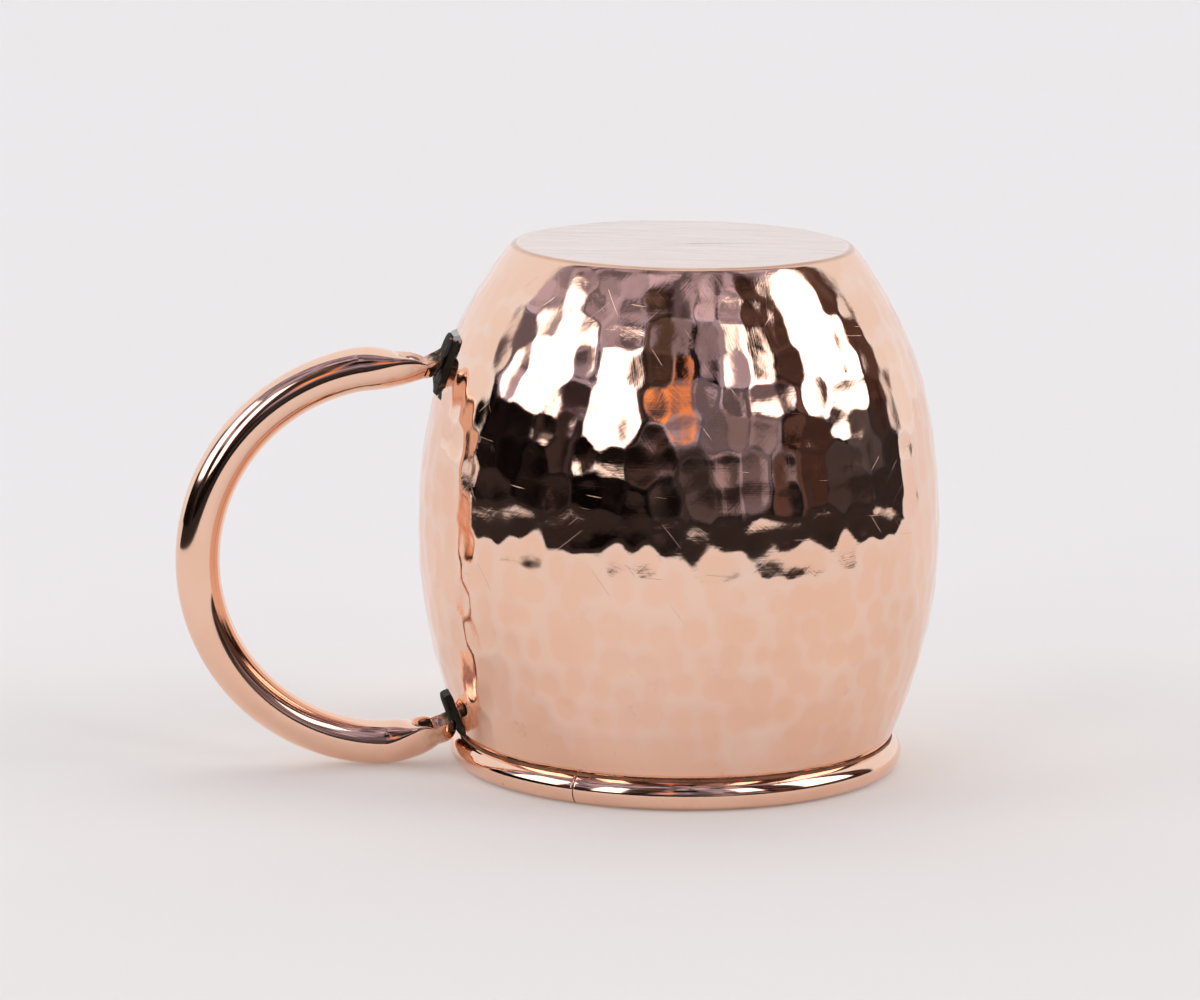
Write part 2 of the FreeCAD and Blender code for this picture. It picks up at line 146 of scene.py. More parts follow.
def make_camera():
    """A long lens a little above the mug, aimed to the handle's side of it."""
    data = bpy.data.cameras.new("camera")
    data.lens = LENS
    data.sensor_width = 36.0
    data.clip_start = 0.05
    data.clip_end = 60.0
    camera = add_object("camera", data)
    out = Vector((
        sin(CAMERA_TURN) * cos(CAMERA_RISE),
        -cos(CAMERA_TURN) * cos(CAMERA_RISE),
        sin(CAMERA_RISE),
    ))
    centre = Vector((0.0, 0.0, AIM_HEIGHT))
    place = centre + out * CAMERA_AWAY
    right = Vector((0, 0, 1)).cross(out).normalized()
    above = out.cross(right)
    aim = centre - right * AIM_LEFT + above * AIM_UP
    back = (place - aim).normalized()
    right = Vector((0, 0, 1)).cross(back).normalized()
    above = back.cross(right)
    level = Matrix((right, above, back)).transposed().to_4x4()
    rolled = Matrix.Rotation(CAMERA_ROLL, 4, "Z")
    camera.matrix_world = Matrix.Translation(place) @ level @ rolled
    bpy.context.scene.camera = camera


# -------- mesh helpers

def new_piece(name, points, faces):
    """A mesh object from points in millimetres."""
    mesh = bpy.data.meshes.new(name)
    mesh.from_pydata((np.asarray(points) * MM).tolist(), [], faces)
    mesh.validate()
    work = bmesh.new()
    work.from_mesh(mesh)
    bmesh.ops.recalc_face_normals(work, faces=work.faces)
    work.to_mesh(mesh)
    work.free()
    mesh.shade_smooth()
    return add_object(name, mesh)


def lathe_faces(rows, columns, closed_rows=False):
    """Quads between rows of points that each run right round."""
    faces = []
    last = rows if closed_rows else rows - 1
    for row in range(last):
        here = row * columns
        above = ((row + 1) % rows) * columns
        for column in range(columns):
            beside = (column + 1) % columns
            faces.append((here + column, here + beside, above + beside, above + column))
    return faces


def end_caps(rows, columns):
    """The two faces that close the ends of a row of sections."""
    return [tuple(range(columns)), tuple(reversed(range((rows - 1) * columns, rows * columns)))]


def turned_section(section, place):
    """A section of radius and height, stood at an angle about the axis."""
    return np.stack([
        section[:, 0] * cos(place), section[:, 0] * sin(place), section[:, 1],
    ], axis=-1)


def store(piece, name, values):
    """A number for each point, which a material can read."""
    layer = piece.data.attributes.new(name, "FLOAT", "POINT")
    layer.data.foreach_set("value", np.asarray(values, dtype=np.float32))


def read(items, name, kind=np.int32, width=1):
    """One value of every item."""
    values = np.zeros(len(items) * width, dtype=kind)
    items.foreach_get(name, values)
    return values


def store_on_faces(piece, name, values):
    """One number for each face, taken from its first point, so that it doesn't blend."""
    mesh = piece.data
    corners = read(mesh.loops, "vertex_index")
    starts = read(mesh.polygons, "loop_start")
    layer = mesh.attributes.new(name, "FLOAT", "FACE")
    layer.data.foreach_set("value", np.asarray(values, dtype=np.float32)[corners[starts]])


def way(angle):
    """The direction at an angle, one long."""
    return np.array([cos(angle), sin(angle)])


def ease(low, high, value):
    """0 below low, 1 above high, smooth between."""
    share = np.clip((value - low) / (high - low), 0.0, 1.0)
    return share * share * (3.0 - 2.0 * share)


def waves(count, longest, shortest, seed):
    """A smooth random height field in the plane, as a sum of plane waves."""
    draw = np.random.default_rng(seed)
    lengths = np.exp(draw.uniform(log(shortest), log(longest), count))
    turns = draw.uniform(0, 2 * pi, count)
    phases = draw.uniform(0, 2 * pi, count)
    weights = lengths / lengths.sum()

    def field(across, up):
        total = np.zeros(np.broadcast(across, up).shape)
        for length, turned, phase, weight in zip(lengths, turns, phases, weights):
            along = across * cos(turned) + up * sin(turned)
            total += weight * np.sin(2 * pi * along / length + phase)
        return total

    return field


# -------- the barrel's outline

HIGH_ACROSS = BELLY - UPPER_ARC
LOW_ACROSS = BELLY - LOWER_ARC
SHOULDER_ACROSS = HIGH_ACROSS + (UPPER_ARC - SHOULDER_ARC) * cos(SHOULDER_TURN)
SHOULDER_UP = BELLY_HEIGHT + (UPPER_ARC - SHOULDER_ARC) * sin(SHOULDER_TURN)
CORNER_RISE = asin((TOP - BASE_CORNER - SHOULDER_UP) / (SHOULDER_ARC - BASE_CORNER))
CORNER_ACROSS = SHOULDER_ACROSS + (SHOULDER_ARC - BASE_CORNER) * cos(CORNER_RISE)


def wall_radius(height, outside=0.0):
    """The barrel's radius at a height, so far outside its outer face."""
    height = np.asarray(height, dtype=float)

    def arc(across, up, reach):
        return across + np.sqrt(np.maximum((reach + outside) ** 2 - (height - up) ** 2, 0))

    low = arc(LOW_ACROSS, BELLY_HEIGHT, LOWER_ARC)
    high = arc(HIGH_ACROSS, BELLY_HEIGHT, UPPER_ARC)
    shoulder = arc(SHOULDER_ACROSS, SHOULDER_UP, SHOULDER_ARC)
    turn_height = SHOULDER_UP + (SHOULDER_ARC + outside) * sin(SHOULDER_TURN)
    return np.where(height < BELLY_HEIGHT, low, np.where(height < turn_height, high, shoulder))


def outline(inset, step, corner_steps, base_steps):
    """Points up the barrel's face and in over its base, with their outward directions.

    Returns radius, height, outward radius part, outward height part and the
    distance from the mouth along the face.
    """
    rows = []
    start = asin((EDGE - BELLY_HEIGHT) / (LOWER_ARC - inset))
    stretches = (
        (LOW_ACROSS, BELLY_HEIGHT, LOWER_ARC - inset, start, 0.0),
        (HIGH_ACROSS, BELLY_HEIGHT, UPPER_ARC - inset, 0.0, SHOULDER_TURN),
        (SHOULDER_ACROSS, SHOULDER_UP, SHOULDER_ARC - inset, SHOULDER_TURN, CORNER_RISE),
        (CORNER_ACROSS, TOP - BASE_CORNER, BASE_CORNER - inset, CORNER_RISE, pi / 2),
    )
    travelled = 0.0
    for number, (across, up, radius, first, last) in enumerate(stretches):
        length = radius * (last - first)
        count = corner_steps if number == 3 else max(2, round(length / step))
        for tick in range(count):
            angle = first + (last - first) * tick / count
            cosine, sine = cos(angle), sin(angle)
            along = travelled + length * tick / count
            rows.append((across + radius * cosine, up + radius * sine, cosine, sine, along))
        travelled += length
    for tick in range(base_steps):
        share = (tick / base_steps) ** 0.8
        radius = CORNER_ACROSS * (1 - share)
        rows.append((radius, TOP - inset, 0.0, 1.0, travelled + CORNER_ACROSS - radius))
    return np.array(rows), travelled


# -------- hammering

FACET_COLUMNS = 56
FACET_ROWS = 17
FACE_LENGTH = 95.0
FACET_BOW_ROUND = 22.0
FACET_BOW_UP = 32.0
RIDGE_SHARPNESS = 17.0
RIDGE_LEVEL = 0.22
ROW_SPREAD = 0.22
MARK_SPREAD = 0.15
DEPTH_SPREAD = 0.022
BOW_SPREAD = (0.75, 1.35)
RIPPLE = 0.10
DIMPLE = 0.03
FADE_FROM = 1.5
FADE_TO = 9.0
POLE_ALONG = 150.0


class Hammering:
    """Rows of shallow hammer marks: the lowest of many soft bowls, blended at the ridges."""

    def __init__(self):
        shape = (FACET_ROWS + 6, FACET_COLUMNS)
        self.pitch = FACE_LENGTH / FACET_ROWS
        self.shift_round = rng.normal(0, MARK_SPREAD, shape)
        self.shift_up = rng.normal(0, MARK_SPREAD, shape)
        self.row_shift = np.cumsum(rng.normal(0, ROW_SPREAD, shape[0]))
        self.depth = rng.normal(0, DEPTH_SPREAD, shape)
        self.bow_round = FACET_BOW_ROUND * rng.uniform(*BOW_SPREAD, shape)
        self.bow_up = FACET_BOW_UP * rng.uniform(*BOW_SPREAD, shape)

    def height(self, angle, along, radius):
        """Height below the ridges, and which mark each point is in."""
        turn_place = angle / (2 * pi) * FACET_COLUMNS
        rise_place = along / self.pitch
        total = np.zeros(angle.shape)
        nearest = np.full(angle.shape, np.inf)
        mark = np.zeros(angle.shape, dtype=int)
        base_row = np.floor(rise_place).astype(int)
        for row_step in (-2, -1, 0, 1, 2):
            row = np.clip(base_row + row_step, -3, FACET_ROWS + 2)
            place = row + 3
            shifted = turn_place - self.row_shift[place]
            base_column = np.floor(shifted).astype(int)
            for column_step in (-1, 0, 1, 2):
                column = (base_column + column_step) % FACET_COLUMNS
                across = shifted - (base_column + column_step) - self.shift_round[place, column]
                across = across * 2 * pi * radius / FACET_COLUMNS
                up = (rise_place - row - 0.5 - self.shift_up[place, column]) * self.pitch
                bowl = across ** 2 / (2 * self.bow_round[place, column])
                bowl += up ** 2 / (2 * self.bow_up[place, column]) + self.depth[place, column]
                total += np.exp(-RIDGE_SHARPNESS * bowl)
                closer = bowl < nearest
                nearest = np.where(closer, bowl, nearest)
                mark = np.where(closer, place * FACET_COLUMNS + column, mark)
        return -np.log(total) / RIDGE_SHARPNESS, mark


def make_barrel():
    """One sheet: hammered outside, softer marks inside, and the flat base."""
    hammering = Hammering()
    ripple = waves(14, 60.0, 14.0, 3)
    dimple = waves(60, 6.0, 1.6, 4)
    skins = []
    marks = []
    crests = []
    alongs = []
    settings = (
        # inset, columns, step, corner steps, base steps, share of the marks that shows
        (0.0, 504, 0.6, 5, 10, 1.0),
        (WALL, 126, 2.4, 3, 6, 0.6),
    )
    for inset, columns, step, corner_steps, base_steps, share in settings:
        rows, face_length = outline(inset, step, corner_steps, base_steps)
        angle = np.arange(columns) * 2 * pi / columns
        radius, height, along = (np.repeat(rows[:, [item]], columns, axis=1) for item in (0, 1, 4))
        turned = np.repeat(angle[None, :], len(rows), axis=0)
        depth, mark = hammering.height(turned, along, np.maximum(radius, 20.0))
        shown = ease(FADE_FROM, FADE_TO, along)
        shown = shown * (1 - ease(face_length - FADE_TO, face_length - FADE_FROM, along))
        sunk = np.minimum(depth - RIDGE_LEVEL, 0.0) * shown * share
        around = turned * BELLY
        sunk += RIPPLE * (ripple(around, along) - 0.8) + DIMPLE * (dimple(around, along) - 0.6)
        sunk = np.minimum(sunk, 0.0)
        radius_out = radius + sunk * rows[:, 2:3]
        height_out = height + sunk * rows[:, 3:4]
        points = np.stack(
            [radius_out * np.cos(turned), radius_out * np.sin(turned), height_out], axis=-1
        ).reshape(-1, 3)
        skins.append((points, len(rows), columns))
        marks.append(mark.ravel())
        # How near each point is to a ridge; the material paints a highlight there.
        crests.append((depth * shown).ravel())
        alongs.append(np.minimum(along, face_length + 60).ravel())

    (outer, outer_rows, outer_columns), (inner, inner_rows, inner_columns) = skins
    faces = lathe_faces(outer_rows, outer_columns)
    start = len(outer)
    faces += [
        tuple(start + index for index in reversed(face))
        for face in lathe_faces(inner_rows, inner_columns)
    ]
    points = np.concatenate([outer, inner])
    # Poles of the base, outside and inside.
    centres = np.array([[0, 0, TOP], [0, 0, TOP - WALL]])
    outer_pole = len(points)
    points = np.concatenate([points, centres])
    last = (outer_rows - 1) * outer_columns
    for column in range(outer_columns):
        faces.append((last + column, last + (column + 1) % outer_columns, outer_pole))
    last = start + (inner_rows - 1) * inner_columns
    for column in range(inner_columns):
        faces.append((last + (column + 1) % inner_columns, last + column, outer_pole + 1))
    # The cut edge at the mouth: three outer columns meet one inner column.
    ratio = outer_columns // inner_columns
    for column in range(inner_columns):
        beside = start + (column + 1) % inner_columns
        outer_strip = [(column * ratio + tick) % outer_columns for tick in range(ratio + 1)]
        faces.append((*reversed(outer_strip), start + column, beside))
    barrel = new_piece("barrel", points, faces)
    store_on_faces(barrel, "mark", np.concatenate([*marks, [0, 0]]))
    store(barrel, "crest", np.concatenate([*crests, [0, 0]]))
    store(barrel, "along", np.concatenate([*alongs, [POLE_ALONG, POLE_ALONG]]))
    return barrel


# -------- rim

def ring_section(radius, steps):
    """The wire's section, with the groove that the barrel's edge stands in."""
    bottom = EDGE - FIT_GAP

    def side(offset):
        reach = LOWER_ARC + offset
        heights = np.linspace(bottom, WIRE + radius, 400)
        across = LOW_ACROSS + np.sqrt(reach ** 2 - (heights - BELLY_HEIGHT) ** 2)
        inside = (across - RING) ** 2 + (heights - WIRE) ** 2 <= radius ** 2
        top = np.nonzero(inside)[0][-1]
        return (across[0], heights[0]), (across[top], heights[top])

    outer_foot, outer_top = side(FIT_GAP)
    inner_foot, inner_top = side(-WALL - FIT_GAP)
    first = atan2(outer_top[1] - WIRE, outer_top[0] - RING)
    last = atan2(inner_top[1] - WIRE, inner_top[0] - RING)
    section = [inner_foot, outer_foot]
    for tick in range(steps + 1):
        angle = first - (2 * pi - (last - first)) * tick / steps
        section.append((RING + radius * cos(angle), WIRE + radius * sin(angle)))
    return np.array(section[::-1])


def make_ring():
    """The wire ring, with its two ends pinched a little at the butt joint."""
    section = ring_section(WIRE, WIRE_STEPS)
    travel = np.linspace(0.0, 1.0, RING_COLUMNS)
    angle = JOINT_PLACE + HALF_GAP + (2 * pi - 2 * HALF_GAP) * travel
    away = np.minimum(travel, 1 - travel) * 2 * pi * RING
    pinch = PINCH * np.exp(-((away / PINCH_REACH) ** 2))
    wander = waves(9, 60.0, 18.0, 5)(travel * 2 * pi * RING, 0.0 * travel)
    rings = []
    for place, squeeze, drift in zip(angle, pinch, wander):
        shrunk = section.copy()
        shrunk[:-2] = (RING, WIRE) + (section[:-2] - (RING, WIRE)) * (1 - squeeze / WIRE)
        shrunk[:, 0] += RING_WANDER * (drift - 1.0)
        rings.append(turned_section(shrunk, place))
    count = len(section)
    faces = lathe_faces(RING_COLUMNS, count) + end_caps(RING_COLUMNS, count)
    return new_piece("rim_wire", np.concatenate(rings), faces)


def make_ring_joint():
    """The sunken braze between the wire's two ends."""
    section = ring_section(WIRE - JOINT_SUNK, WIRE_STEPS)
    steps = 5
    rings = [
        turned_section(section, JOINT_PLACE + JOINT_HALF_WIDTH * (2 * tick / (steps - 1) - 1))
        for tick in range(steps)
    ]
    count = len(section)
    faces = lathe_faces(steps, count) + end_caps(steps, count)
    return new_piece("rim_joint", np.concatenate(rings), faces)


def make_rim_braze():
    """The thin, slightly uneven line of braze where the barrel stands in the ring."""
    columns = 420
    uneven = waves(16, 40.0, 3.0, 8)
    steps = 6
    rings = []
    low_reach = LOWER_ARC + LAP
    wire_reach = WIRE + LAP
    heights = np.linspace(WIRE, 2 * WIRE + 0.2, 4000)
    across = LOW_ACROSS + np.sqrt(low_reach ** 2 - (heights - BELLY_HEIGHT) ** 2)
    inside = (across - RING) ** 2 + (heights - WIRE) ** 2 <= wire_reach ** 2
    corner = np.nonzero(inside)[0][-1]
    on_wire = atan2(heights[corner] - WIRE, across[corner] - RING)
    on_wall = asin((heights[corner] - BELLY_HEIGHT) / low_reach)
    for column in range(columns):
        place = column * 2 * pi / columns
        leg = BRAZE_LEG + BRAZE_UNEVEN * float(uneven(np.array(place * RING), np.array(0.0)))
        wire_angle = on_wire - leg / wire_reach
        wall_angle = on_wall + leg / low_reach
        wire_end = (RING, WIRE) + wire_reach * way(wire_angle)
        wall_end = (LOW_ACROSS, BELLY_HEIGHT) + low_reach * way(wall_angle)
        root = np.array([across[corner], heights[corner]])
        section = [root, wire_end]
        for tick in range(1, steps):
            share = tick / steps
            straight = wire_end + (wall_end - wire_end) * share
            section.append(straight + (root - straight) * 0.3 * sin(pi * share))
        section.append(wall_end)
        rings.append(turned_section(np.array(section), place))
    faces = [tuple(reversed(face)) for face in lathe_faces(columns, steps + 2, closed_rows=True)]
    return new_piece("rim_braze_line", np.concatenate(rings), faces)


# -------- handle

def bow_place(end, angle):
    """Place and heading on one half of the bow."""
    settings = ENDS[end]
    across = REACH - settings["radius"]
    place = np.array([
        across + settings["radius"] * sin(angle),
        HANDLE_HEIGHT + settings["side"] * settings["radius"] * cos(angle),
    ])
    return place, np.array([-cos(angle), settings["side"] * sin(angle)])


def wall_arc(end):
    """Radius and centre of the wall's arc behind one flange."""
    if end == "upper":
        return SHOULDER_ARC, SHOULDER_ACROSS, SHOULDER_UP
    return LOWER_ARC, LOW_ACROSS, BELLY_HEIGHT


def mix(first, last, share):
    share = float(ease(0.0, 1.0, share))
    return first + (last - first) * share


def end_stations(end):
    """From the round tube to the tip of one flange.

    Each station holds its place, which way its upper side faces, half width,
    half thickness, squareness, where its curled edges are from its place, depth
    of the trough, and a share from 0 on the tube to 1 at the tip.
    """
    settings = ENDS[end]
    start = radians(settings["start"])
    stop = radians(settings["stop"])
    stations = []
    flat = FLAT_SHARE * TONGUE

    def add(place, heading, width, thickness, square, curl, trough, share):
        upward = np.array([heading[1], -heading[0]])
        stations.append((place, upward, width, thickness, square, curl * upward, trough, share))

    for tick in range(SQUASH_STEPS + 1):
        share = tick / SQUASH_STEPS
        place, heading = bow_place(end, start + (stop - start) * share)
        thickness = TUBE + (flat - TUBE) * share ** SQUASH_POWER
        raised = settings["lift"] * (TUBE - thickness) + settings["arch"] * sin(pi * share)
        place = place + np.array([0.0, raised])
        hollow = float(ease(0.5, 0.95, share))
        add(
            place, heading, mix(TUBE, TONGUE_HALF, share), thickness, 2.0 + 0.8 * hollow,
            mix(0.0, settings["curl"], share), max(0.0, 2 * thickness - TONGUE) * hollow,
            0.45 * share,
        )
    place = stations[-1][0]
    heading = bow_place(end, stop)[1]
    reach, across, up = wall_arc(end)
    outside = FILM + TONGUE / 2
    bend = settings["bend"]
    lean = asin((place[1] + bend - up) / (reach + outside))
    foot = np.array([across + (reach + outside) * cos(lean), place[1] + bend])
    along = np.array([-sin(lean), cos(lean)])
    cross = heading[0] * along[1] - heading[1] * along[0]
    offset = foot - place
    ahead = (offset[0] * along[1] - offset[1] * along[0]) / cross
    corner = place + ahead * heading
    first = atan2(heading[1], heading[0]) % (2 * pi)
    turned = first - atan2(along[1], along[0])
    back = bend * tan(turned / 2)
    centre = corner - back * heading + bend * np.array([heading[1], -heading[0]])
    hug = -TONGUE_HALF ** 2 / (2 * foot[0])
    last_dent = 2 * flat - TONGUE
    for tick in range(BEND_STEPS + 1):
        share = tick / BEND_STEPS
        angle = first - turned * share
        direction = way(angle)
        add(
            centre + bend * np.array([-direction[1], direction[0]]), direction,
            TONGUE_HALF, mix(flat, TONGUE / 2, share), 2.8 - 0.2 * share,
            hug, last_dent * (1 - float(ease(0.0, 0.8, share))),
            0.45 + 0.2 * share,
        )
    begin = stations[-1][0][1]
    for tick in range(1, FLANGE_STEPS + 1):
        share = tick / FLANGE_STEPS
        height = begin + (settings["tip"] - begin) * share
        lean = asin((height - up) / (reach + outside))
        width = TONGUE_HALF + (TIP_HALF - TONGUE_HALF) * max(0.0, (share - 0.7) / 0.3) ** 1.6
        thin = 1 - 0.25 * max(0.0, (share - 0.8) / 0.2) ** 2
        add(
            np.array([across + (reach + outside) * cos(lean), height]),
            np.array([-sin(lean), cos(lean)]),
            width, TONGUE / 2 * thin, 2.6, hug * (width / TONGUE_HALF) ** 2, 0.0,
            0.65 + 0.35 * share,
        )
    # The curled edges run straight from the squashed tube to where they meet the flange.
    heights = [station[0][1] for station in stations]
    meeting = next(
        number for number, height in enumerate(heights)
        if number > SQUASH_STEPS + BEND_STEPS and height > settings["meet"]
    )
    leave = stations[SQUASH_STEPS][0] + stations[SQUASH_STEPS][5]
    arrive = stations[meeting][0] + stations[meeting][5]
    for number in range(SQUASH_STEPS + 1, meeting):
        share = (number - SQUASH_STEPS) / (meeting - SQUASH_STEPS)
        station = list(stations[number])
        station[5] = leave + (arrive - leave) * share - station[0]
        stations[number] = tuple(station)
    return stations


def bow_stations():
    """The whole handle from the upper tip, round the bow, to the lower tip.

    The last item of each station tells whether its upper side is the bow's
    inner side, so that the points of every section stay in line.
    """
    row = [(*station, False) for station in reversed(end_stations("upper"))]
    for end, first, last in (
        ("upper", radians(ENDS["upper"]["start"]), pi / 2),
        ("lower", pi / 2, radians(ENDS["lower"]["start"])),
    ):
        # The squashed end that follows has its own first station.
        steps = BOW_STEPS if end == "upper" else BOW_STEPS - 1
        for tick in range(1, steps + 1):
            angle = first + (last - first) * tick / BOW_STEPS
            place, _ = bow_place(end, angle)
            outward = np.array([sin(angle), ENDS[end]["side"] * cos(angle)])
            row.append((place, outward, TUBE, TUBE, 2.0, 0.0 * outward, 0.0, 0.0, False))
    row += [(*station, True) for station in end_stations("lower")]
    return row


def make_handle():
    """The bent tube with its squashed, troughed and upturned ends."""
    stations = bow_stations()
    count = TUBE_COLUMNS
    angle = np.arange(count) * 2 * pi / count
    dents = waves(18, 30.0, 5.0, 12)
    rings = []
    shares = []
    hollows = []
    travelled = 0.0
    before = stations[0][0]
    for place, upward, half_width, half_thick, square, curl, trough, share, inner_side in stations:
        travelled += float(np.linalg.norm(place - before))
        before = place
        section = -angle if inner_side else angle
        cosine, sine = np.cos(section), np.sin(section)
        side = half_width * np.sign(cosine) * np.abs(cosine) ** (2 / square)
        rise = half_thick * np.sign(sine) * np.abs(sine) ** (2 / square)
        hollow = np.exp(-((side / (0.5 * half_width)) ** 2)) * (sine > 0)
        rise = rise - trough * hollow
        edge = (side / half_width) ** 2
        uneven = UNEVEN * share * (dents(travelled + 0 * angle, angle * 4.0) - 0.5)
        side = side * (1 + uneven * 0.2)
        reach = place[0] + (rise + uneven) * upward[0] + edge * curl[0]
        height = place[1] + (rise + uneven) * upward[1] + edge * curl[1]
        rings.append(np.stack([-reach, side, height], axis=-1))
        shares.append(np.full(count, share))
        hollows.append(hollow * min(1.0, trough))
    points = np.concatenate(rings)
    # Nothing reaches in past the film of braze against the wall.
    away = np.hypot(points[:, 0], points[:, 1])
    least = wall_radius(points[:, 2], FILM)
    push = np.where((points[:, 2] > EDGE + 1) & (away < least), least / away, 1.0)
    points[:, 0] *= push
    points[:, 1] *= push
    points[:, 2] = np.maximum(points[:, 2], handle_low[2] / MM)
    points[:, 0] = np.maximum(points[:, 0], handle_low[0] / MM)
    faces = lathe_faces(len(stations), count) + end_caps(len(stations), count)
    handle = new_piece("handle", points, faces)
    store(handle, "scorch", np.concatenate(shares))
    store(handle, "hollow", np.concatenate(hollows))
    return handle


# -------- braze at the handle

def make_handle_braze(end, name, low, high, reach_out, tail, seed):
    """A ragged fillet of braze round one flange, lying on the wall.

    Its thickness is a height over the wall: level under the flange, a fillet
    beside it, and running out to nothing at a ragged edge.
    """
    ragged = waves(18, 9.0, 1.2, seed)
    lumps = waves(18, 4.0, 0.8, seed + 1)
    across_steps = 84
    up_steps = 96
    half = TONGUE_HALF + reach_out
    heights = np.linspace(low, high, up_steps)
    sides = np.linspace(-half, half, across_steps)
    side, height = np.meshgrid(sides, heights)
    tip = ENDS[end]["tip"]
    foot = low + tail
    share = np.clip((height - tip + 3.2) / 3.2, 0, 1)
    flange_half = TONGUE_HALF + (TIP_HALF - TONGUE_HALF) * share ** 1.6
    beside = np.abs(side) - flange_half
    beyond = np.maximum(height - tip, foot - height)
    distance = np.where(beyond > 0, np.hypot(np.maximum(beside, 0), beyond), np.maximum(beside, beyond))
    width = 0.35 + 0.4 * (ragged(side, height) + 0.3)
    width = width + np.where(height < foot, tail * np.exp(-((side / 3.0) ** 2)), 0.0)
    width = np.maximum(width, 0.15)
    fillet = np.clip(1 - distance / width, 0, 1)
    thick = FILM * np.clip(fillet * 3, 0, 1) + 0.6 * fillet ** 2.0
    thick = np.where(distance < 0, FILM + 0.02, thick)
    thick += 0.09 * lumps(side, height) * np.clip(fillet * 4, 0, 1) * (distance > 0)
    edge_fade = np.minimum(ease(0, 0.5, height - low), ease(0, 0.5, high - height))
    edge_fade = np.minimum(edge_fade, ease(0, 0.5, half - np.abs(side)))
    lost = np.minimum(np.clip(fillet * 6, 0, 1), edge_fade)
    outside = thick * lost - 0.32 * (1 - lost)
    skins = []
    for lift in (outside, np.full(outside.shape, -0.4)):
        radius = wall_radius(height, 0.0) + lift
        turned = side / wall_radius(height, 0.0)
        skins.append(np.stack([
            -radius * np.cos(turned), radius * np.sin(turned), height,
        ], axis=-1).reshape(-1, 3))
    points = np.concatenate(skins)
    back = across_steps * up_steps
    faces = []
    for row in range(up_steps - 1):
        for column in range(across_steps - 1):
            first = row * across_steps + column
            quad = (first, first + 1, first + across_steps + 1, first + across_steps)
            faces.append(quad)
            faces.append(tuple(back + index for index in reversed(quad)))
    border = list(range(across_steps))
    border += [row * across_steps + across_steps - 1 for row in range(1, up_steps)]
    border += [(up_steps - 1) * across_steps + column for column in reversed(range(across_steps - 1))]
    border += [row * across_steps for row in reversed(range(1, up_steps - 1))]
    for number, index in enumerate(border):
        beyond = border[(number + 1) % len(border)]
        faces.append((beyond, index, back + index, back + beyond))
    piece = new_piece(name, points, faces)
    silver = ease(tip - 1.2, tip + 0.4, height) if end == "upper" else 0.0 * height
    store(piece, "silver", np.concatenate([silver.ravel(), silver.ravel()]))
    return piece


# -------- materials

class Shader:
    """A small helper that adds nodes and links to one node tree."""

    def __init__(self, tree):
        self.tree = tree
        tree.nodes.clear()

    def add(self, kind, inputs=None, **settings):
        node = self.tree.nodes.new("ShaderNode" + kind)
        for name, value in settings.items():
            setattr(node, name, value)
        for name, value in (inputs or {}).items():
            self.feed(value, node.inputs[name])
        return node

    def feed(self, value, socket):
        if isinstance(value, bpy.types.NodeSocket):
            self.tree.links.new(value, socket)
        else:
            socket.default_value = value

    def end(self, last, kind="OutputMaterial"):
        self.feed(last.outputs[0], self.add(kind).inputs["Surface"])

    def math(self, operation, first, second=0.0, third=0.0):
        node = self.add("Math", {0: first, 1: second, 2: third}, operation=operation)
        return node.outputs[0]

    def times(self, first, second):
        return self.math("MULTIPLY", first, second)

    def plus(self, first, second):
        return self.math("ADD", first, second)

    def step(self, value, low, high, to_low=0.0, to_high=1.0):
        node = self.add(
            "MapRange",
            {"Value": value, "From Min": low, "From Max": high, "To Min": to_low, "To Max": to_high},
            interpolation_type="SMOOTHSTEP",
        )
        return node.outputs["Result"]

    def blend(self, share, first, second, mode="MIX"):
        node = self.add("Mix", data_type="RGBA", blend_type=mode)
        self.feed(share, node.inputs[0])
        self.feed(first, node.inputs[6])
        self.feed(second, node.inputs[7])
        return node.outputs[2]

    def stored(self, name, output="Fac"):
        return self.add("Attribute", attribute_name=name).outputs[output]

    def place(self, vector, size, turned=0.0):
        """Turned about Z, then stretched, so that lines can run at any slant."""
        if not isinstance(turned, float) or turned:
            vector = self.add(
                "VectorRotate", {"Vector": vector, "Angle": turned}, rotation_type="Z_AXIS"
            ).outputs[0]
        return self.add("Mapping", {"Vector": vector, "Scale": size}).outputs["Vector"]

    def noise(self, vector, scale, detail=3.0, rough=0.55, output="Fac"):
        node = self.add(
            "TexNoise",
            {"Vector": vector, "Scale": scale, "Detail": detail, "Roughness": rough},
        )
        return node.outputs[output]

    def bump(self, height, distance, strength=1.0, under=None):
        inputs = {"Height": height, "Distance": distance, "Strength": strength}
        if under is not None:
            inputs["Normal"] = under
        return self.add("Bump", inputs).outputs["Normal"]


def new_material(name):
    """A material, its shader and the place on the object, in metres."""
    material = bpy.data.materials.new(name)
    material.use_nodes = True
    shader = Shader(material.node_tree)
    return material, shader, shader.add("TexCoord").outputs["Object"]


def close(shader, colour, roughness, normal, metallic=1.0):
    """The surface shader and its output.  What isn't metal here is a matt crust."""
    surface = shader.add("BsdfPrincipled", {
        "Base Color": colour, "Roughness": roughness, "Metallic": metallic, "Normal": normal,
        "Specular IOR Level": 0.05,
    })
    shader.end(surface)


COPPER = (0.95, 0.63, 0.475, 1.0)
COPPER_WARM = (0.92, 0.58, 0.42, 1.0)
COPPER_PALE = (0.94, 0.74, 0.64, 1.0)
SATIN = (0.87, 0.715, 0.645, 1.0)
# Brown tarnish; on the wire's underside the same colour is painted shade.
TARNISH_AND_SHADE = (0.50, 0.25, 0.14, 1.0)
OXIDE = (0.018, 0.013, 0.010, 1.0)
OXIDE_GREEN = (0.030, 0.030, 0.023, 1.0)
SILVER = (0.50, 0.49, 0.47, 1.0)
SATIN_LINE = (0.66, 0.50, 0.43, 1.0)
BROWN = (0.16, 0.075, 0.04, 1.0)
BROWN_LIGHT = (0.30, 0.15, 0.09, 1.0)

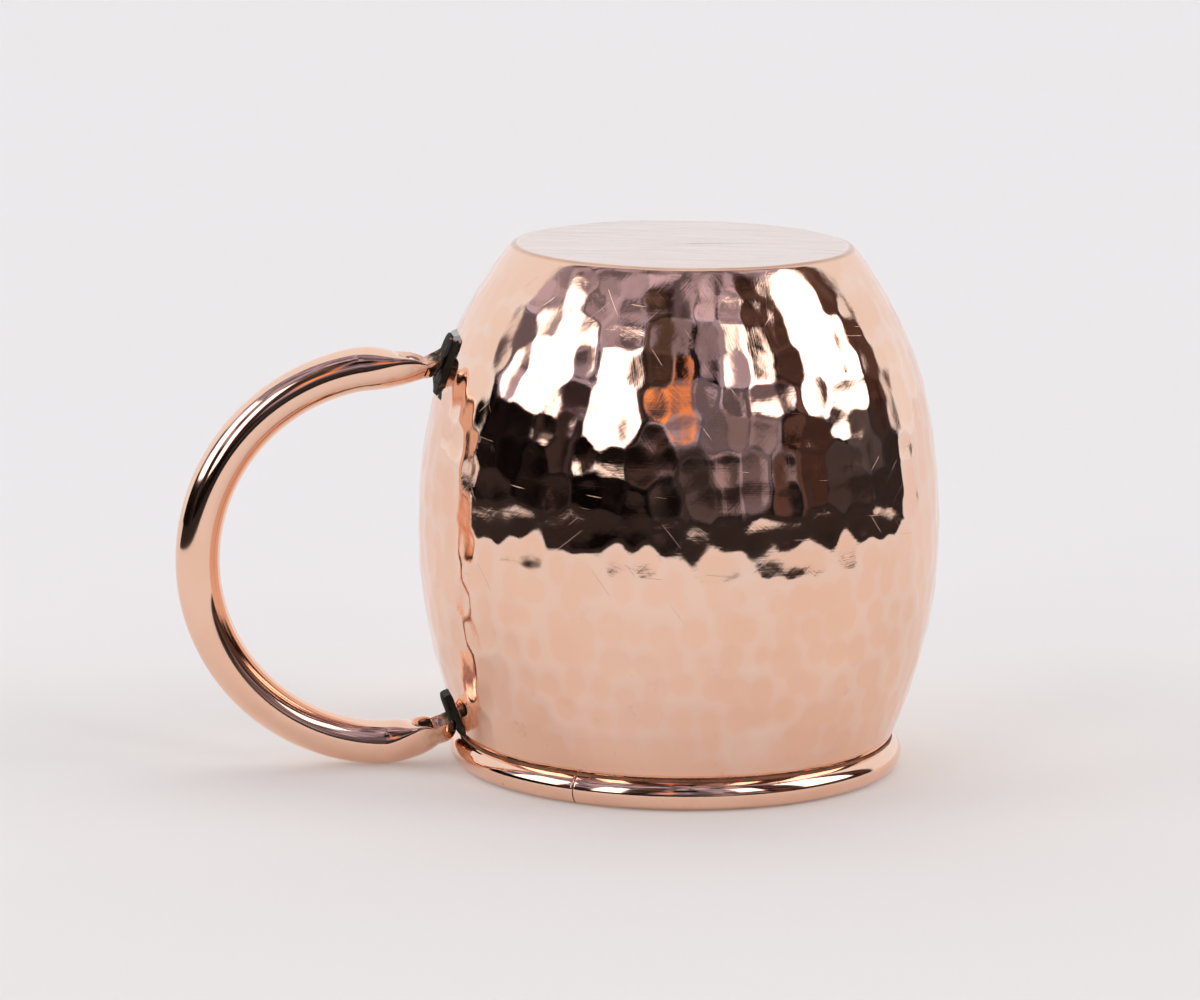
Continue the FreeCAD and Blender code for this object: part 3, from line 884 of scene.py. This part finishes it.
# Hammered skin.  Each set of lines has its stretch across and along itself, per metre.
FINE_LINES = (3400.0, 150.0, 1.0)
ROUND_LINES = (60.0, 3400.0, 1.0)
SLANT_LINES = (80.0, 3000.0, 1.0)
SLANT = radians(-42.0)
SANDING_LINES = (40.0, 1700.0, 1.0)
SANDING_TURN = radians(10.0)
DEEP_STRETCH = 75.0
DEEP_LINES = (
    # turn, fineness, level above which a line shows
    (0.9, 2300.0, 0.735),
    (-0.7, 2000.0, 0.745),
    (0.1, 2600.0, 0.745),
)
SCRATCH_DEPTH = 0.0000070
WOBBLE_DEPTH = 0.00006
POLISHED_ROUGHNESS = (0.045, 0.085)
SATIN_ROUGHER = 0.17
DEEP_ROUGHER = 0.05
BASE_STARTS = (94.8, 95.6)
CREASE_RISES = (93.4, 94.3)
CREASE_FALLS = (95.3, 94.7)

# Tube and wire.
WIRE_ROUGHNESS = (0.04, 0.10)
DRAWN_DEPTH = 0.0000012
OXIDE_FROM = 0.52
OXIDE_TO = 0.68
OXIDE_ROUGHNESS = 0.6
TUBE_ROUGHNESS = 0.06
CRUST_DEPTH = 0.00012
BRAZE_DEPTH = 0.00016


def hammered_copper():
    """Polished over hammer marks: fine scratches, each mark's its own way, and a satin base."""
    material, shader, world = new_material("hammered_skin")
    skin = shader.stored("skin", "Vector")
    mark = shader.stored("mark")
    chance = shader.add("TexWhiteNoise", {"W": mark}, noise_dimensions="1D")
    lean = shader.times(chance.outputs["Value"], pi)
    fine = shader.noise(shader.place(skin, FINE_LINES, lean), 1.0, 3.0, 0.65)
    round_lines = shader.noise(shader.place(skin, ROUND_LINES), 1.0, 3.0, 0.65)
    slant_lines = shader.noise(shader.place(skin, SLANT_LINES, SLANT), 1.0, 2.0, 0.6)
    deep = 0.0
    for lean_deep, fineness, level in DEEP_LINES:
        drawn = shader.noise(shader.place(skin, (DEEP_STRETCH, fineness, 1.0), lean_deep), 1.0, 1.0)
        deep = shader.math("MAXIMUM", deep, shader.step(drawn, level, level + 0.05))
    patches = shader.noise(world, 70.0, 3.0)
    wide = shader.noise(world, 26.0, 2.0)

    # The base: sanding lines in one direction, bent a little.
    bent = shader.noise(world, 38.0, 2.0, output="Color")
    sway = shader.add("VectorMath", {0: bent, 1: (0.012, 0.012, 0.0)}, operation="MULTIPLY")
    moved = shader.add("VectorMath", {0: world, 1: sway.outputs[0]}, operation="ADD").outputs[0]
    sanding = shader.noise(shader.place(moved, SANDING_LINES, SANDING_TURN), 1.0, 4.0, 0.7)
    along = shader.stored("along")
    on_base = shader.step(along, *BASE_STARTS)

    colour = shader.blend(shader.step(wide, 0.35, 0.68), COPPER, COPPER_WARM)
    colour = shader.blend(shader.step(patches, 0.55, 0.75, 0.0, 0.45), colour, COPPER_PALE)
    low_down = shader.step(along, 55.0, 10.0)
    # Painted highlight: the crests between the hammer marks are painted paler, partly for polish and
    # partly for the highlights their edges catch.
    ridge_highlight = shader.step(shader.stored("crest"), 0.05, 0.14)
    colour = shader.blend(shader.times(ridge_highlight, 0.35), colour, COPPER_PALE)
    stains = shader.step(shader.noise(world, 120.0, 5.0, 0.7), 0.60, 0.72)
    stain = shader.times(shader.times(stains, low_down), 0.22)
    colour = shader.blend(stain, colour, TARNISH_AND_SHADE)
    crease = shader.times(shader.step(along, *CREASE_RISES), shader.step(along, *CREASE_FALLS))
    crease = shader.times(crease, shader.step(patches, 0.3, 0.7, 0.35, 0.8))
    satin = shader.blend(shader.step(sanding, 0.47, 0.62, 0.0, 0.6), SATIN, SATIN_LINE)
    colour = shader.blend(shader.times(on_base, 0.9), colour, satin)
    colour = shader.blend(crease, colour, TARNISH_AND_SHADE)

    lines = shader.plus(shader.times(fine, 0.8), shader.times(round_lines, 0.5))
    lines = shader.plus(lines, shader.times(slant_lines, 0.45))
    polish = shader.step(patches, 0.3, 0.8, *POLISHED_ROUGHNESS)
    rough = shader.plus(polish, shader.times(deep, DEEP_ROUGHER))
    rough = shader.plus(rough, shader.times(on_base, SATIN_ROUGHER))
    off_base = shader.math("SUBTRACT", 1.0, on_base)
    lines = shader.times(shader.math("SUBTRACT", lines, deep), off_base)
    lines = shader.plus(lines, shader.times(shader.times(sanding, on_base), 4.5))
    wobble = shader.noise(world, 330.0, 2.0, 0.5)
    normal = shader.bump(wobble, WOBBLE_DEPTH, 0.5)
    normal = shader.bump(lines, SCRATCH_DEPTH, 1.0, normal)
    close(shader, colour, rough, normal)
    return material


def polished_copper():
    """Drawn wire: nearly mirror bright, with faint lines, a little tarnish and painted shade along its
    underside.
    """
    material, shader, world = new_material("wire_skin")
    patches = shader.noise(world, 60.0, 3.0)
    colour = shader.blend(shader.step(patches, 0.4, 0.7), COPPER, COPPER_WARM)
    specks = shader.step(shader.noise(world, 520.0, 3.0, 0.7), 0.66, 0.74, 0.0, 0.45)
    colour = shader.blend(specks, colour, TARNISH_AND_SHADE)
    # Painted contact shade: the lowest 0.9 mm of the wire, where it stands on the floor, is darkened
    # towards the tarnish colour.
    under = shader.math("SUBTRACT", 1.0, shader.step(
        shader.add("SeparateXYZ", {"Vector": world}).outputs["Z"], 0.0, 0.0009
    ))
    colour = shader.blend(shader.times(under, 0.7), colour, TARNISH_AND_SHADE)
    rough = shader.step(shader.noise(world, 180.0, 4.0, 0.7), 0.3, 0.75, *WIRE_ROUGHNESS)
    lines = shader.noise(shader.place(world, (2600.0, 2600.0, 5200.0)), 1.0, 2.0)
    normal = shader.bump(shader.noise(world, 150.0, 2.0), 0.00005, 0.6)
    normal = shader.bump(lines, DRAWN_DEPTH, 1.0, normal)
    close(shader, colour, rough, normal)
    return material


def tube_copper():
    """Polished tube whose squashed ends are dark with oxide."""
    material, shader, world = new_material("tube_skin")
    scorch = shader.stored("scorch")
    hollow = shader.stored("hollow")
    patches = shader.noise(world, 75.0, 3.0)
    mottle = shader.noise(world, 420.0, 5.0, 0.7)
    colour = shader.blend(shader.step(patches, 0.4, 0.7), COPPER, COPPER_WARM)
    warm = shader.step(scorch, 0.25, 0.45, 0.0, 0.6)
    colour = shader.blend(shader.times(warm, shader.step(mottle, 0.3, 0.6)), colour, TARNISH_AND_SHADE)
    uneven = shader.times(shader.math("SUBTRACT", mottle, 0.5), 0.5)
    reached = shader.plus(shader.plus(scorch, uneven), shader.times(hollow, 0.5))
    oxide = shader.step(reached, OXIDE_FROM, OXIDE_TO)
    crust = shader.blend(shader.step(patches, 0.35, 0.65), OXIDE, OXIDE_GREEN)
    colour = shader.blend(oxide, colour, crust)
    rough = shader.step(oxide, 0.0, 1.0, TUBE_ROUGHNESS, OXIDE_ROUGHNESS)
    rough = shader.plus(rough, shader.step(patches, 0.35, 0.8, 0.0, 0.04))
    bare = shader.step(shader.noise(world, 640.0, 3.0, 0.6), 0.60, 0.68, 0.0, 0.75)
    colour = shader.blend(shader.times(oxide, bare), colour, TARNISH_AND_SHADE)
    metal = shader.math("MAXIMUM", shader.math("SUBTRACT", 1.0, oxide), bare)
    lines = shader.noise(shader.place(world, (900.0, 5200.0, 900.0)), 1.0, 2.0)
    normal = shader.bump(mottle, CRUST_DEPTH, shader.times(oxide, 0.8))
    normal = shader.bump(lines, DRAWN_DEPTH, 1.0, normal)
    close(shader, colour, rough, normal, metal)
    return material


def braze(name, crust, crust_patches):
    """Oxidised braze, grey and bright where its tip was left clean."""
    material, shader, world = new_material(name)
    mottle = shader.noise(world, 480.0, 5.0, 0.7)
    patches = shader.noise(world, 160.0, 3.0)
    colour = shader.blend(shader.step(patches, 0.35, 0.65), crust, crust_patches)
    colour = shader.blend(shader.step(mottle, 0.56, 0.70, 0.0, 0.7), colour, TARNISH_AND_SHADE)
    clean = shader.plus(shader.stored("silver"), shader.math("SUBTRACT", mottle, 0.5))
    bright = shader.step(clean, 0.45, 0.65)
    colour = shader.blend(bright, colour, SILVER)
    rough = shader.step(mottle, 0.3, 0.7, 0.42, 0.62)
    rough = shader.math("SUBTRACT", rough, shader.times(bright, 0.12))
    metal = shader.math("MAXIMUM", bright, shader.step(mottle, 0.56, 0.66, 0.0, 0.7))
    normal = shader.bump(mottle, BRAZE_DEPTH, 0.8)
    close(shader, colour, rough, normal, metal)
    return material


# -------- studio

# Azimuths are seen from the mug: 0 towards the camera, + to the picture's right.
ROOM_LEFT = -108.0
ROOM_RIGHT = 118.0
WINDOWS = (
    # left, right, low, high, brightness
    (-91.0, -62.0, 15.0, 46.0, 2.6),
    (-42.0, -27.0, 11.0, 45.0, 2.5),
    (34.0, 48.0, 25.0, 50.0, 2.5),
    (70.0, 103.0, 13.0, 53.0, 2.6),
)
TABLE_REACH = 0.387
CYCLORAMA = (0.90, 0.93, 0.97, 1.0)
PLAIN_BACKDROP = (0.803, 0.784, 0.782, 1.0)
FLOOR_NEAR = (0.775, 0.755, 0.725, 1.0)
FLOOR_FAR = (0.78, 0.765, 0.75, 1.0)
LAMP_COLOUR = (1.0, 0.985, 0.985)
LAMP_LEAN = (radians(-14.0), radians(-8.0), 0.0)
LAMPS = (
    # name, strength, spread in degrees, whether it casts a shadow
    ("overhead", 0.18, 70.0, True),
    ("fill", 0.78, 20.0, False),
)
THING_WIDTH = 10.0
THING_HEIGHT = 8.0


def make_world():
    """A dark room in front with four windows, and white behind and to the sides."""
    world = bpy.data.worlds.new("studio")
    world.use_nodes = True
    bpy.context.scene.world = world
    shader = Shader(world.node_tree)
    direction = shader.add("TexCoord").outputs["Generated"]
    split = shader.add("SeparateXYZ", {"Vector": direction})
    across, forth, up = split.outputs
    back = shader.times(forth, -1.0)
    turned = shader.times(shader.math("ARCTAN2", across, back), 180.0 / pi)
    # Measured from the camera's side, wrapped so that the break is behind the mug.
    turned = shader.math("SUBTRACT", turned, degrees(CAMERA_TURN))
    turned = shader.math("WRAP", turned, 180.0, -180.0)
    rise = shader.times(shader.math("ARCSINE", up), 180.0 / pi)

    def span(value, low, high, soft):
        into = shader.step(value, low - soft, low + soft)
        out = shader.step(value, high + soft, high - soft)
        return shader.times(into, out)

    def patch(left, right, low, high, soft):
        return shader.times(span(turned, left, right, soft), span(rise, low, high, soft))

    left_edge = shader.plus(turned, shader.times(rise, -0.35))
    room = shader.times(span(turned, ROOM_LEFT, ROOM_RIGHT, 2.0), shader.step(left_edge, -140.0, -128.0))
    grey = (0.34, 0.31, 0.40, 1.0)
    band = (0.050, 0.043, 0.046, 1.0)
    black = (0.006, 0.005, 0.005, 1.0)
    lilac = (0.30, 0.275, 0.36, 1.0)
    colour = shader.blend(shader.step(rise, 11.0, 19.0), band, lilac)
    colour = shader.blend(shader.step(rise, 46.0, 54.0), colour, grey)
    left_half = shader.times(shader.step(turned, -2.0, -14.0), shader.step(rise, 18.0, 10.0))
    colour = shader.blend(left_half, colour, black)
    for left, right, low, high, soft, tone in (
        (-25.0, -5.0, 30.0, 62.0, 3.0, (0.085, 0.060, 0.050, 1.0)),
        (-2.0, 14.0, 35.0, 50.0, 2.0, (0.012, 0.010, 0.010, 1.0)),
        (-25.0, -12.0, 10.0, 30.0, 2.0, (0.060, 0.045, 0.045, 1.0)),
        (49.0, 69.0, -5.0, 62.0, 2.0, (0.070, 0.042, 0.036, 1.0)),
        (-60.0, -45.0, -5.0, 24.0, 2.0, (0.040, 0.030, 0.032, 1.0)),
        (103.0, 122.0, 6.0, 48.0, 2.0, (0.070, 0.040, 0.034, 1.0)),
        (20.0, 48.0, 5.0, 24.0, 3.0, (0.22, 0.19, 0.23, 1.0)),
    ):
        colour = shader.blend(patch(left, right, low, high, soft), colour, tone)
    # The room is full of things: patches of about ten degrees, some light and some dark.
    spot = shader.add("CombineXYZ", {
        "X": shader.times(turned, 1 / THING_WIDTH), "Y": shader.times(rise, 1 / THING_HEIGHT),
    }).outputs[0]
    things = shader.add("TexVoronoi", {"Vector": spot, "Scale": 1.0, "Randomness": 0.8})
    lot = shader.add("SeparateColor", {"Color": things.outputs["Color"]}).outputs[0]
    lot = shader.math("POWER", shader.math("MULTIPLY_ADD", lot, 0.9, 0.5), 2.0)
    tint = shader.add("CombineXYZ", {"X": lot, "Y": lot, "Z": lot}).outputs[0]
    colour = shader.blend(1.0, colour, tint, "MULTIPLY")
    for left, right, low, high, soft, tone in (
        (-9.0, 1.5, 21.0, 29.0, 2.0, (1.05, 0.42, 0.15, 1.0)),
        (-3.5, -1.0, 28.0, 40.0, 1.0, (0.8, 0.30, 0.10, 1.0)),
    ):
        colour = shader.blend(patch(left, right, low, high, soft), colour, tone)
    for left, right, low, high, bright in WINDOWS:
        tone = (bright, bright * 0.98, bright, 1.0)
        colour = shader.blend(patch(left, right, low, high, 1.2), colour, tone)
    colour = shader.blend(room, CYCLORAMA, colour)
    seen = shader.add("LightPath").outputs["Is Camera Ray"]
    colour = shader.blend(seen, colour, PLAIN_BACKDROP)
    shader.end(shader.add("Background", {"Color": colour, "Strength": 1.0}), "OutputWorld")


def make_floor():
    """A wide pale floor, a touch paler behind the mug."""
    steps = 96
    work = bmesh.new()
    rings = [[work.verts.new((0, 0, 0))]]
    for radius in (0.2, 0.6, 2.0, 6.0):
        places = [radius * way(2 * pi * tick / steps) for tick in range(steps)]
        rings.append([work.verts.new((*place, 0)) for place in places])
    for tick in range(steps):
        beside = (tick + 1) % steps
        work.faces.new((rings[0][0], rings[1][tick], rings[1][beside]))
        for inner, outer in zip(rings[1:], rings[2:]):
            work.faces.new((inner[tick], outer[tick], outer[beside], inner[beside]))
    mesh = bpy.data.meshes.new("floor")
    work.to_mesh(mesh)
    work.free()
    floor = add_object("floor", mesh)
    material, shader, world = new_material("pale_floor")
    split = shader.add("SeparateXYZ", {"Vector": world})
    behind = shader.step(split.outputs["Y"], 0.03, 0.16)
    soft = shader.noise(world, 3.0, 2.0)
    colour = shader.blend(behind, FLOOR_NEAR, FLOOR_FAR)
    colour = shader.blend(shader.step(soft, 0.3, 0.7, 0.0, 0.2), colour, FLOOR_NEAR)
    surface = shader.add("BsdfPrincipled", {
        "Base Color": colour, "Roughness": 0.9, "Specular IOR Level": 0.0,
        "Normal": shader.bump(shader.noise(world, 1400.0, 2.0), 0.00002, 0.3),
    })
    shader.end(surface)
    mesh.materials.append(material)


def make_room_card():
    """A dark ring beyond the table's edge in front, which only reflections see."""
    steps = 120
    first = radians(ROOM_LEFT + 9.0) + CAMERA_TURN
    last = radians(ROOM_RIGHT - 3.0) + CAMERA_TURN
    work = bmesh.new()
    angles = [first + (last - first) * tick / steps for tick in range(steps + 1)]
    rows = [
        [work.verts.new((radius * sin(angle), -radius * cos(angle), 0.0006)) for angle in angles]
        for radius in (TABLE_REACH, 1.0, 7.0)
    ]
    for inner, outer in zip(rows, rows[1:]):
        for tick in range(steps):
            work.faces.new((inner[tick], inner[tick + 1], outer[tick + 1], outer[tick]))
    mesh = bpy.data.meshes.new("room_card")
    work.to_mesh(mesh)
    work.free()
    card = add_object("room_card", mesh)
    for rays in ("camera", "diffuse", "shadow", "transmission", "volume_scatter"):
        setattr(card, "visible_" + rays, False)
    material, shader, world = new_material("room_dark")
    mottle = shader.noise(world, 2.0, 2.0)
    colour = shader.blend(mottle, (0.010, 0.008, 0.008, 1.0), (0.05, 0.042, 0.042, 1.0))
    shader.end(shader.add("Emission", {"Color": colour, "Strength": 1.0}))
    mesh.materials.append(material)


def make_lamps():
    """A broad soft light from above and a shadowless fill, which mirrors don't show."""
    for name, energy, spread, shadow in LAMPS:
        data = bpy.data.lights.new(name, "SUN")
        data.energy = energy
        data.angle = radians(spread)
        data.color = LAMP_COLOUR
        data.use_shadow = shadow
        lamp = add_object(name, data)
        lamp.rotation_euler = LAMP_LEAN
        lamp.visible_glossy = False


# -------- putting it together

def skin_coordinates(barrel):
    """Distance round and along the sheet for every corner, unbroken at the join."""
    mesh = barrel.data
    corners = read(mesh.loops, "vertex_index")
    count = len(corners)
    places = read(mesh.vertices, "co", float, 3).reshape(-1, 3)[corners]
    along = read(mesh.attributes["along"].data, "value", float)
    angle = np.arctan2(places[:, 1], places[:, 0])
    starts = read(mesh.polygons, "loop_start")
    owner = np.repeat(np.arange(len(starts)), np.diff(np.append(starts, count)))
    lowest = np.minimum.reduceat(angle, starts)[owner]
    highest = np.maximum.reduceat(angle, starts)[owner]
    angle = np.where((highest - lowest > pi) & (angle < 0), angle + 2 * pi, angle)
    skin = np.stack([angle * BELLY * MM, along[corners] * MM, np.zeros(count)], axis=-1)
    layer = mesh.attributes.new("skin", "FLOAT_VECTOR", "CORNER")
    layer.data.foreach_set("vector", skin.astype(np.float32).ravel())


def dress(piece, material, node):
    piece.data.materials.clear()
    piece.data.materials.append(material)
    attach(piece, "root")
    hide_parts(node)


make_camera()
make_world()
make_floor()
make_room_card()
make_lamps()

barrel = make_barrel()
skin_coordinates(barrel)
dress(barrel, hammered_copper(), "barrel_shell")
dress(make_ring(), polished_copper(), "rim_ring")
dark_braze = braze("dark_braze", OXIDE, OXIDE_GREEN)
brown_braze = braze("brown_braze", BROWN, BROWN_LIGHT)
for make, node in ((make_rim_braze, "rim_braze"), (make_ring_joint, "rim_joint_braze")):
    piece = make()
    store(piece, "silver", np.zeros(len(piece.data.vertices)))
    dress(piece, brown_braze, node)
dress(make_handle(), tube_copper(), "handle_tube")
for end, low, high, tail, seed in (("upper", 66.3, 78.2, 2.6, 31), ("lower", 5.4, 13.8, 0.7, 41)):
    piece = make_handle_braze(end, end + "_braze", low, high, 1.2, tail, seed)
    dress(piece, dark_braze, "handle_braze_" + end)

bpy.context.scene.view_settings.view_transform = "Standard"
